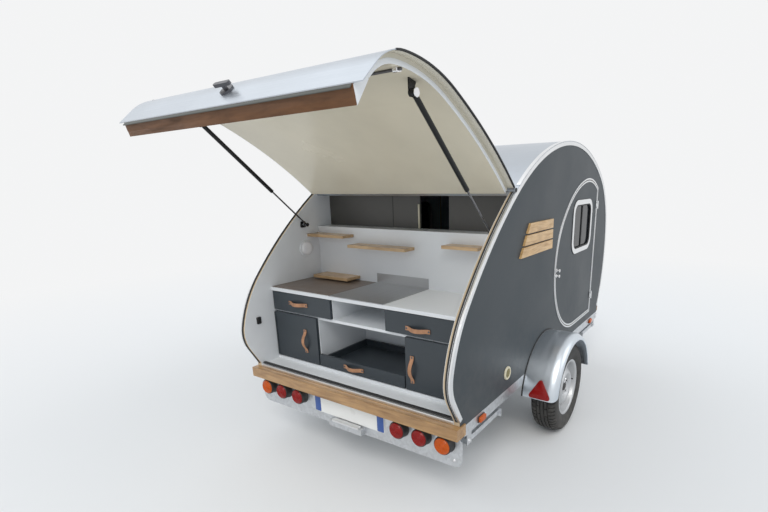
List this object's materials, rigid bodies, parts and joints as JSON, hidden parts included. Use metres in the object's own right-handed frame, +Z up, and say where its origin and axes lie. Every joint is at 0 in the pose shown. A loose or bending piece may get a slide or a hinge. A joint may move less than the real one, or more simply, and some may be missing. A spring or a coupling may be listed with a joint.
{
  "type": "teardrop camping trailer",
  "caption": "Teardrop camping trailer with side doors, a rear hatch that lifts on gas struts, a galley with drawers, road wheels and a jockey wheel.",
  "frame": {"origin": "on the ground below the middle of the bounding box, with the hatch open", "axes": "+X forwards along the drawbar, +Y to the left, +Z up"},
  "size_m": [4.1034, 1.896, 1.9641],
  "materials": {
    "galvanised_steel": "galvanised",
    "black_cast_steel": "semi-gloss black",
    "pale_timber": "varnished",
    "black_plastic": "moulded",
    "red_lens": "clear moulded",
    "amber_lens": "clear moulded",
    "white_plate": "smooth",
    "cream_plastic": "smooth",
    "anthracite_board": "matte anthracite paint",
    "sheet_aluminium": "mill",
    "white_board": "white paint",
    "dark_board": "dark grey laminate",
    "cream_board": "cream lining",
    "brown_board": "brown-grey laminate",
    "cover_steel": "brushed",
    "tyre_rubber": "rubber",
    "black_rubber": "rubber",
    "silver_paint": "silver paint",
    "dark_glass": "tinted",
    "black_paint": "gloss black",
    "rod_chrome": "polished"
  },
  "bodies": {
    "trailer": {"chassis_frame": "galvanised_steel", "drawbar": "galvanised_steel", "coupling_head": "black_cast_steel", "axle": "galvanised_steel", "timber_beams": "pale_timber", "lamp_plate": "galvanised_steel", "lamp_housings": "black_plastic", "red_lamps": "red_lens", "amber_lamps": "amber_lens", "number_plate": "white_plate", "cabin_floor": "white_board", "side_wall_right": "anthracite_board", "side_wall_left": "anthracite_board", "roof": "sheet_aluminium", "edge_trims": "sheet_aluminium", "bulkhead": "white_board", "upper_panels": "dark_board", "galley_cabinet": "white_board", "worktop": "white_board", "worktop_board": "brown_board", "cooker_cover": "cover_steel", "wall_shelves": "pale_timber", "fenders": "galvanised_steel", "side_vents": "cream_plastic", "side_slats": "pale_timber", "roof_vent": "white_plate", "drawbar_cable": "black_rubber", "cable_plug": "black_plastic", "strut_studs": "galvanised_steel"},
    "hatch": {"hatch_sheet": "sheet_aluminium", "hatch_core": "cream_board", "hatch_timber": "pale_timber", "hatch_handle": "galvanised_steel", "strut_brackets": "galvanised_steel"},
    "door_right": {"door_right": "anthracite_board", "door_trim_right": "sheet_aluminium", "window_glass_right": "dark_glass"},
    "road_wheel_right": {"wheel_right": "silver_paint", "tyre_right": "tyre_rubber"},
    "strut_tube_right": {"strut_tube_right": "black_paint"},
    "strut_rod_right": {"strut_rod_right": "rod_chrome"},
    "drawer_right": {"drawer_right": "dark_board"},
    "cupboard_right": {"cupboard_right": "dark_board"},
    "stand_rear_right": {"stand_rear_right": "galvanised_steel"},
    "stand_front_right": {"stand_front_right": "galvanised_steel"},
    "door_left": {"door_left": "anthracite_board", "door_trim_left": "sheet_aluminium", "window_glass_left": "dark_glass"},
    "road_wheel_left": {"wheel_left": "silver_paint", "tyre_left": "tyre_rubber"},
    "strut_tube_left": {"strut_tube_left": "black_paint"},
    "strut_rod_left": {"strut_rod_left": "rod_chrome"},
    "drawer_left": {"drawer_left": "dark_board"},
    "cupboard_left": {"cupboard_left": "dark_board"},
    "stand_rear_left": {"stand_rear_left": "galvanised_steel"},
    "stand_front_left": {"stand_front_left": "galvanised_steel"},
    "galley_tray": {"galley_tray": "dark_board"},
    "jockey_mast": {"jockey_mast": "galvanised_steel"},
    "jockey_fork": {"jockey_fork": "galvanised_steel"},
    "jockey_wheel": {"jockey_wheel": "black_rubber"}
  },
  "joints": [
    {"name": "hatch_hinge", "type": "hinge", "parent": "trailer", "child": "hatch", "pos_m": [-0.93786, 0, 1.5177], "axis": [0, 1, 0], "range_deg": [-76, 0]},
    {"name": "strut_pivot_right", "type": "hinge", "parent": "hatch", "child": "strut_tube_right", "pos_m": [-1.70072, -0.664, 1.86697], "axis": [0, 1, 0], "range_deg": [-14.17, 0]},
    {"name": "strut_stroke_right", "type": "slide", "parent": "strut_tube_right", "child": "strut_rod_right", "axis": [0.751, 0, -0.6603], "range_m": [-0.2456, 0]},
    {"name": "strut_pivot_left", "type": "hinge", "parent": "hatch", "child": "strut_tube_left", "pos_m": [-1.70072, 0.664, 1.86697], "axis": [0, 1, 0], "range_deg": [-14.17, 0]},
    {"name": "strut_stroke_left", "type": "slide", "parent": "strut_tube_left", "child": "strut_rod_left", "axis": [0.751, 0, -0.6603], "range_m": [-0.2456, 0]},
    {"name": "wheel_spin_right", "type": "hinge", "parent": "trailer", "child": "road_wheel_right", "pos_m": [-0.4173, -0.84, 0.285], "axis": [0, 1, 0], "continuous": true},
    {"name": "door_hinge_right", "type": "hinge", "parent": "trailer", "child": "door_right", "pos_m": [0.6227, -0.7445, 1.016], "axis": [0, 0, 1], "range_deg": [0, 100]},
    {"name": "drawer_slide_right", "type": "slide", "parent": "trailer", "child": "drawer_right", "axis": [-1, 0, 0], "range_m": [0, 0.3]},
    {"name": "cupboard_hinge_right", "type": "hinge", "parent": "trailer", "child": "cupboard_right", "pos_m": [-1.3633, -0.6915, 0.65], "axis": [0, 0, 1], "range_deg": [0, 85]},
    {"name": "stand_fold_rear_right", "type": "hinge", "parent": "trailer", "child": "stand_rear_right", "pos_m": [-1.4073, -0.715, 0.35], "axis": [0, 1, 0], "range_deg": [0, 90]},
    {"name": "stand_fold_front_right", "type": "hinge", "parent": "trailer", "child": "stand_front_right", "pos_m": [0.8177, -0.715, 0.35], "axis": [0, -1, 0], "range_deg": [0, 90]},
    {"name": "wheel_spin_left", "type": "hinge", "parent": "trailer", "child": "road_wheel_left", "pos_m": [-0.4173, 0.84, 0.285], "axis": [0, 1, 0], "continuous": true},
    {"name": "door_hinge_left", "type": "hinge", "parent": "trailer", "child": "door_left", "pos_m": [0.6227, 0.7445, 1.016], "axis": [0, 0, -1], "range_deg": [0, 100]},
    {"name": "drawer_slide_left", "type": "slide", "parent": "trailer", "child": "drawer_left", "axis": [-1, 0, 0], "range_m": [0, 0.3]},
    {"name": "cupboard_hinge_left", "type": "hinge", "parent": "trailer", "child": "cupboard_left", "pos_m": [-1.3633, 0.6915, 0.65], "axis": [0, 0, -1], "range_deg": [0, 85]},
    {"name": "stand_fold_rear_left", "type": "hinge", "parent": "trailer", "child": "stand_rear_left", "pos_m": [-1.4073, 0.715, 0.35], "axis": [0, 1, 0], "range_deg": [0, 90]},
    {"name": "stand_fold_front_left", "type": "hinge", "parent": "trailer", "child": "stand_front_left", "pos_m": [0.8177, 0.715, 0.35], "axis": [0, -1, 0], "range_deg": [0, 90]},
    {"name": "tray_slide", "type": "slide", "parent": "trailer", "child": "galley_tray", "axis": [-1, 0, 0], "range_m": [0, 0.3]},
    {"name": "jockey_lift", "type": "slide", "parent": "trailer", "child": "jockey_mast", "axis": [0, 0, 1], "range_m": [0, 0.045]},
    {"name": "jockey_swivel", "type": "hinge", "parent": "jockey_mast", "child": "jockey_fork", "pos_m": [1.5077, 0.088, 0.216], "axis": [0, 0, 1], "continuous": true},
    {"name": "jockey_wheel_spin", "type": "hinge", "parent": "jockey_fork", "child": "jockey_wheel", "pos_m": [1.4857, 0.088, 0.1], "axis": [0, 1, 0], "continuous": true}
  ],
  "couplings": [
    {"joint": "strut_pivot_right", "follows": "hatch_hinge", "ratio": 0.18584},
    {"joint": "strut_stroke_right", "follows": "hatch_hinge", "m_per_rad": 0.18497},
    {"joint": "strut_pivot_left", "follows": "hatch_hinge", "ratio": 0.18584},
    {"joint": "strut_stroke_left", "follows": "hatch_hinge", "m_per_rad": 0.18497}
  ]
}
